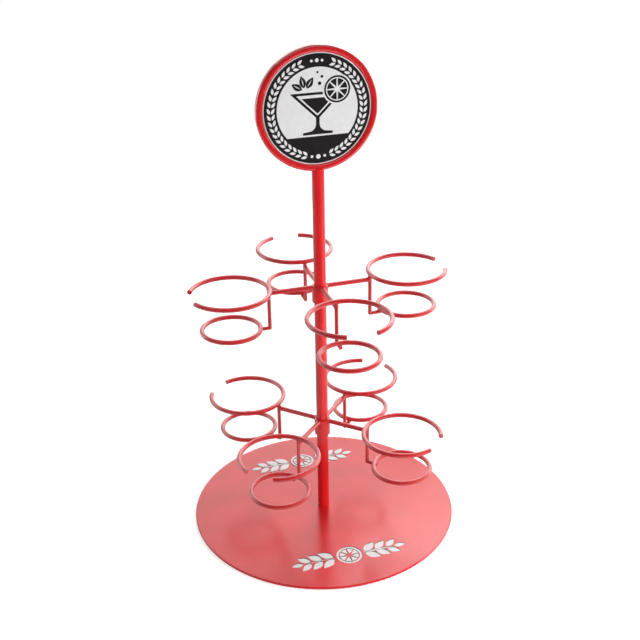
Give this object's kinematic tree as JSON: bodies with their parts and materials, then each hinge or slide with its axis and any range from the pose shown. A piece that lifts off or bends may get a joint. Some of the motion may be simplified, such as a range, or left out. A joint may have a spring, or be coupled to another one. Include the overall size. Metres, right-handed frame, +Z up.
{
  "type": "cocktail tower",
  "caption": "Free-standing drink tower: a flat round base and a pole with a round sign, which carry two turning tiers of wire holders, each an open ring over a smaller rest ring.",
  "frame": {"origin": "on the table, under the pole's axis: the centre of the bottom of the bounding box", "axes": "+Z up along the pole; the sign's front faces -Y; +X is to the right of someone who looks at the sign"},
  "size_m": [0.3, 0.3, 0.539],
  "materials": {
    "red_coat": "glossy red powder coat",
    "steel": "zinc plated",
    "spring_steel": "blackened spring steel",
    "rubber": "matte",
    "panel_print": "white board with a printed face, satin",
    "print_black": "satin black ink",
    "mark_white": "satin white ink"
  },
  "bodies": {
    "stand": {"base_plate": "red_coat", "base_pads": "rubber", "base_screw": "steel", "pole_foot_plug": "steel", "pole_tube": "red_coat", "upper_snap_ring": "spring_steel", "lower_snap_ring": "spring_steel", "sign_stem": "red_coat", "sign_rim": "red_coat", "sign_core": "steel", "sign_front_panel": "panel_print", "sign_rear_panel": "panel_print"},
    "upper_tier": {"upper_collar": "red_coat", "upper_arm_front": "red_coat", "upper_arm_right": "red_coat", "upper_arm_back": "red_coat", "upper_arm_left": "red_coat", "upper_upright_front": "red_coat", "upper_upright_right": "red_coat", "upper_upright_back": "red_coat", "upper_upright_left": "red_coat", "upper_cup_ring_front": "red_coat", "upper_cup_ring_right": "red_coat", "upper_cup_ring_back": "red_coat", "upper_cup_ring_left": "red_coat", "upper_rest_ring_front": "red_coat", "upper_rest_ring_right": "red_coat", "upper_rest_ring_back": "red_coat", "upper_rest_ring_left": "red_coat"},
    "lower_tier": {"lower_collar": "red_coat", "lower_arm_front_right": "red_coat", "lower_arm_back_right": "red_coat", "lower_arm_back_left": "red_coat", "lower_arm_front_left": "red_coat", "lower_upright_front_right": "red_coat", "lower_upright_back_right": "red_coat", "lower_upright_back_left": "red_coat", "lower_upright_front_left": "red_coat", "lower_cup_ring_front_right": "red_coat", "lower_cup_ring_back_right": "red_coat", "lower_cup_ring_back_left": "red_coat", "lower_cup_ring_front_left": "red_coat", "lower_rest_ring_front_right": "red_coat", "lower_rest_ring_back_right": "red_coat", "lower_rest_ring_back_left": "red_coat", "lower_rest_ring_front_left": "red_coat"}
  },
  "joints": [
    {"name": "upper_tier_turn", "type": "hinge", "parent": "stand", "child": "upper_tier", "pos_m": [0, 0, 0.2845], "axis": [0, 0, 1], "continuous": true},
    {"name": "lower_tier_turn", "type": "hinge", "parent": "stand", "child": "lower_tier", "pos_m": [0, 0, 0.1202], "axis": [0, 0, 1], "continuous": true}
  ]
}
